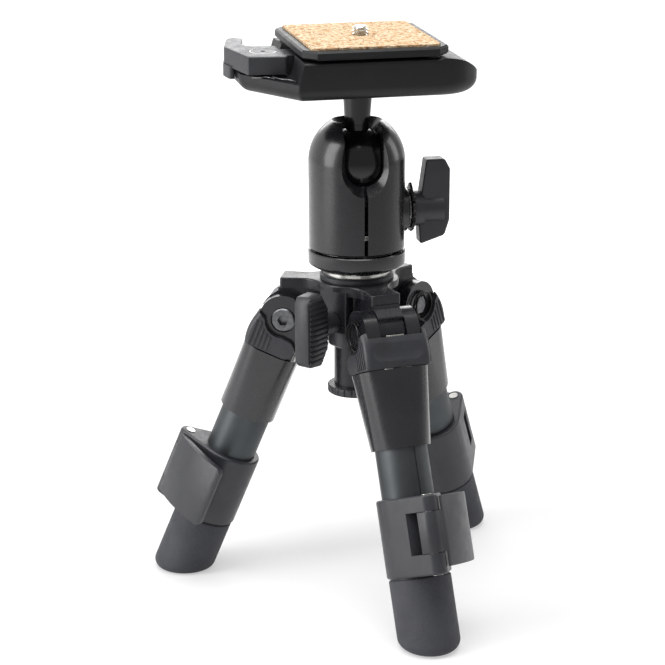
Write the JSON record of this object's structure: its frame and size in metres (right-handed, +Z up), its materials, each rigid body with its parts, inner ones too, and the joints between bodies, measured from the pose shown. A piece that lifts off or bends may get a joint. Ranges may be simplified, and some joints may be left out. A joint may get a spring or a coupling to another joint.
{
  "type": "mini tripod with ball head",
  "caption": "Mini tripod with short splayed legs, flip locks, a raising column, a split ball head and a lever plate clamp.",
  "frame": {"origin": "on the column axis, in the plane of the three soles", "axes": "+Z up along the column, -Y towards the front leg, +X to the right seen from the front"},
  "size_m": [0.1532, 0.1393, 0.2319],
  "materials": {
    "casting": "satin dark grey paint on cast alloy",
    "head_black": "semi-gloss near black paint",
    "ball_black": "polished black",
    "moulding": "fine textured moulded plastic",
    "plate_black": "satin black paint",
    "cork": "speckled cork",
    "bolt_steel": "grey steel",
    "bright_metal": "bright plated steel",
    "anodised": "blue grey anodised tube",
    "rubber": "matte grained rubber",
    "washer_dark": "dark washer"
  },
  "bodies": {
    "shoulder": {"spider": "casting", "column_bush": "moulding", "hinge_bolts": "bolt_steel"},
    "column": {"column_tube": "casting", "column_end_disc": "moulding", "column_cap": "moulding", "base_washer": "bright_metal", "base_ring": "head_black", "head_stud": "bolt_steel"},
    "column_knob": {"column_knob": "moulding", "column_knob_screw": "bolt_steel"},
    "head": {"head_body": "head_black", "ball_seat": "moulding", "cross_pin": "bright_metal"},
    "head_knob": {"head_knob": "moulding", "head_knob_washers": "washer_dark", "head_knob_screw": "bolt_steel"},
    "ball": {"ball": "ball_black"},
    "platform": {"platform": "plate_black", "stem": "ball_black", "lever_pivot": "moulding"},
    "plate_lever": {"plate_lever": "moulding"},
    "quick_plate": {"quick_plate": "plate_black", "cork_pad": "cork"},
    "camera_screw": {"camera_screw": "bright_metal"},
    "leg_front": {"leg_yoke_front": "casting", "inner_tube_front": "anodised", "tab_spring_front": "washer_dark"},
    "tab_front": {"angle_tab_front": "moulding"},
    "lower_leg_front": {"clamp_body_front": "moulding", "clamp_pin_front": "bright_metal", "lower_tube_front": "anodised", "rubber_foot_front": "rubber"},
    "lock_lever_front": {"lock_lever_front": "moulding"},
    "leg_left": {"leg_yoke_left": "casting", "inner_tube_left": "anodised", "tab_spring_left": "washer_dark"},
    "tab_left": {"angle_tab_left": "moulding"},
    "lower_leg_left": {"clamp_body_left": "moulding", "clamp_pin_left": "bright_metal", "lower_tube_left": "anodised", "rubber_foot_left": "rubber"},
    "lock_lever_left": {"lock_lever_left": "moulding"},
    "leg_rear": {"leg_yoke_rear": "casting", "inner_tube_rear": "anodised", "tab_spring_rear": "washer_dark"},
    "tab_rear": {"angle_tab_rear": "moulding"},
    "lower_leg_rear": {"clamp_body_rear": "moulding", "clamp_pin_rear": "bright_metal", "lower_tube_rear": "anodised", "rubber_foot_rear": "rubber"},
    "lock_lever_rear": {"lock_lever_rear": "moulding"}
  },
  "joints": [
    {"name": "column_raise", "type": "slide", "parent": "shoulder", "child": "column", "axis": [0, 0, 1], "range_m": [0, 0.016]},
    {"name": "column_knob_turn", "type": "hinge", "parent": "shoulder", "child": "column_knob", "pos_m": [0, 0, 0.1142], "axis": [-0.866, -0.5, 0], "range_deg": [0, 180]},
    {"name": "head_pan", "type": "hinge", "parent": "column", "child": "head", "pos_m": [0, 0, 0.1426], "axis": [0, 0, 1], "continuous": true},
    {"name": "head_knob_turn", "type": "hinge", "parent": "head", "child": "head_knob", "pos_m": [0, 0, 0.1572], "axis": [0.982, -0.1891, 0], "range_deg": [0, 180]},
    {"name": "ball_tilt", "type": "hinge", "parent": "head", "child": "ball", "pos_m": [0, 0, 0.1775], "axis": [0.982, -0.1891, 0], "range_deg": [-14, 82]},
    {"name": "platform_swivel", "type": "hinge", "parent": "ball", "child": "platform", "pos_m": [0, 0, 0.1775], "axis": [-0.0109, -0.0565, 0.9983], "range_deg": [-180, 50]},
    {"name": "plate_lever_open", "type": "hinge", "parent": "platform", "child": "plate_lever", "pos_m": [-0.03729, 0.00442, 0.21841], "axis": [-0.0109, -0.0565, 0.9983], "range_deg": [0, 50]},
    {"name": "plate_lift", "type": "slide", "parent": "platform", "child": "quick_plate", "axis": [-0.0109, -0.0565, 0.9983], "range_m": [0, 0.012]},
    {"name": "camera_screw_turn", "type": "hinge", "parent": "quick_plate", "child": "camera_screw", "pos_m": [0.00093, -0.00091, 0.22253], "axis": [-0.0109, -0.0565, 0.9983], "continuous": true},
    {"name": "leg_hinge_front", "type": "hinge", "parent": "shoulder", "child": "leg_front", "pos_m": [0, -0.0283, 0.1138], "axis": [-1, 0, 0], "range_deg": [-22.4, 24]},
    {"name": "tab_pull_front", "type": "slide", "parent": "leg_front", "child": "tab_front", "axis": [0, -0.9245, 0.3811], "range_m": [0, 0.003], "stiffness_N_per_m": 400, "springref_m": -0.002},
    {"name": "leg_slide_front", "type": "slide", "parent": "leg_front", "child": "lower_leg_front", "axis": [0, 0.3811, 0.9245], "range_m": [0, 0.018]},
    {"name": "lock_lever_open_front", "type": "hinge", "parent": "lower_leg_front", "child": "lock_lever_front", "pos_m": [0, -0.07551, 0.04781], "axis": [0, -0.3811, -0.9245], "range_deg": [0, 110]},
    {"name": "leg_hinge_left", "type": "hinge", "parent": "shoulder", "child": "leg_left", "pos_m": [-0.02451, 0.01415, 0.1138], "axis": [0.5, 0.866, 0], "range_deg": [-22.4, 24]},
    {"name": "tab_pull_left", "type": "slide", "parent": "leg_left", "child": "tab_left", "axis": [-0.8007, 0.4623, 0.3811], "range_m": [0, 0.003], "stiffness_N_per_m": 400, "springref_m": -0.002},
    {"name": "leg_slide_left", "type": "slide", "parent": "leg_left", "child": "lower_leg_left", "axis": [0.33, -0.1905, 0.9245], "range_m": [0, 0.018]},
    {"name": "lock_lever_open_left", "type": "hinge", "parent": "lower_leg_left", "child": "lock_lever_left", "pos_m": [-0.06539, 0.03775, 0.04781], "axis": [-0.33, 0.1905, -0.9245], "range_deg": [0, 110]},
    {"name": "leg_hinge_rear", "type": "hinge", "parent": "shoulder", "child": "leg_rear", "pos_m": [0.02451, 0.01415, 0.1138], "axis": [0.5, -0.866, 0], "range_deg": [-22.4, 24]},
    {"name": "tab_pull_rear", "type": "slide", "parent": "leg_rear", "child": "tab_rear", "axis": [0.8007, 0.4623, 0.3811], "range_m": [0, 0.003], "stiffness_N_per_m": 400, "springref_m": -0.002},
    {"name": "leg_slide_rear", "type": "slide", "parent": "leg_rear", "child": "lower_leg_rear", "axis": [-0.33, -0.1905, 0.9245], "range_m": [0, 0.018]},
    {"name": "lock_lever_open_rear", "type": "hinge", "parent": "lower_leg_rear", "child": "lock_lever_rear", "pos_m": [0.06539, 0.03775, 0.04781], "axis": [0.33, 0.1905, -0.9245], "range_deg": [0, 110]}
  ]
}
